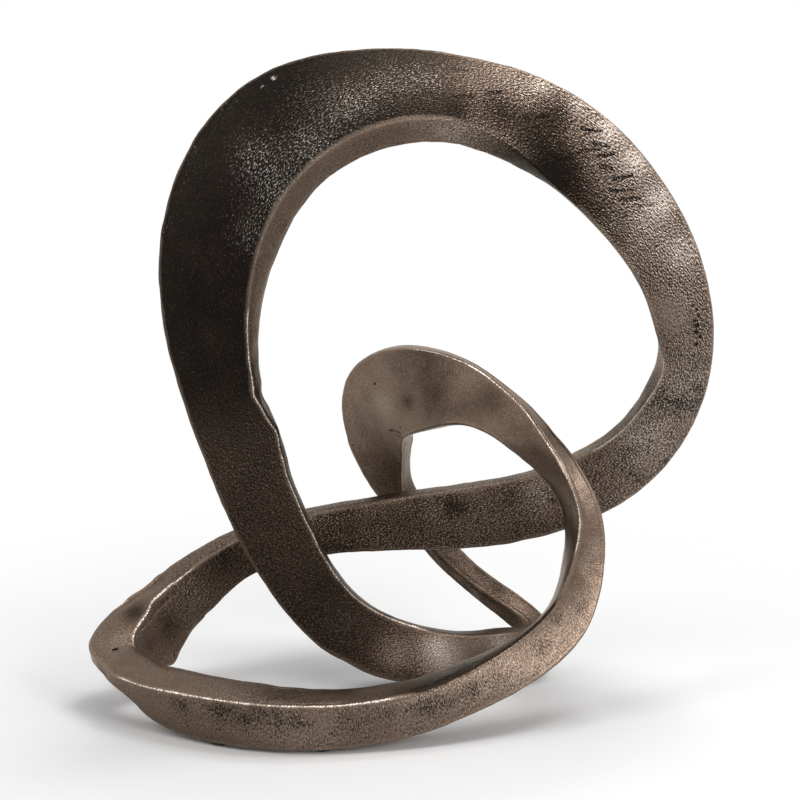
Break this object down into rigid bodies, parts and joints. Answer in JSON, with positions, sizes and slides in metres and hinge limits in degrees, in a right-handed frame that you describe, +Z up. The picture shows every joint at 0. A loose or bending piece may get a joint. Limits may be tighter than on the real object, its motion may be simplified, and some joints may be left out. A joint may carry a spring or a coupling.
{
  "type": "metal knot sculpture",
  "caption": "Cast metal knot sculpture: a closed four-sided bar that twists and loops over itself, with a tall arch, a small loop and a low front foot, in mottled bronze patina.",
  "frame": {"origin": "centre of the overall box seen from above, on the floor under the floor pads", "axes": "+Z up through the tall arch; +X to the right as seen from the front, where the low foot lies nearest; -Y towards the viewer"},
  "size_m": [0.2969, 0.1512, 0.3166],
  "materials": {
    "dark_patina": "sand-cast skin with a nearly black brown patina and a silvery sparkle where the grain is worn",
    "bronze_patina": "pewter and bronze patina with coarse pale and dark speckle, rubbed at the edges",
    "light_patina": "rubbed satin metal, brown grey, with black patina left in the hollows",
    "dowel_steel": "plain drawn steel, hidden inside",
    "pad_rubber": "black, matt"
  },
  "bodies": {
    "root": {"small_loop": "light_patina", "front_foot": "light_patina", "left_tip": "light_patina", "back_rail": "dark_patina", "right_bend": "bronze_patina", "right_arch": "bronze_patina", "left_arch": "dark_patina", "lower_sweep": "dark_patina", "rear_strut": "dark_patina", "loop_foot_weld": "light_patina", "foot_tip_weld": "light_patina", "tip_rail_weld": "dark_patina", "rail_bend_weld": "dark_patina", "bend_arch_weld": "bronze_patina", "arch_weld": "bronze_patina", "arch_sweep_weld": "dark_patina", "sweep_strut_weld": "dark_patina", "strut_loop_weld": "light_patina", "dowels": "dowel_steel", "floor_pads": "pad_rubber"}
  },
  "joints": []
}
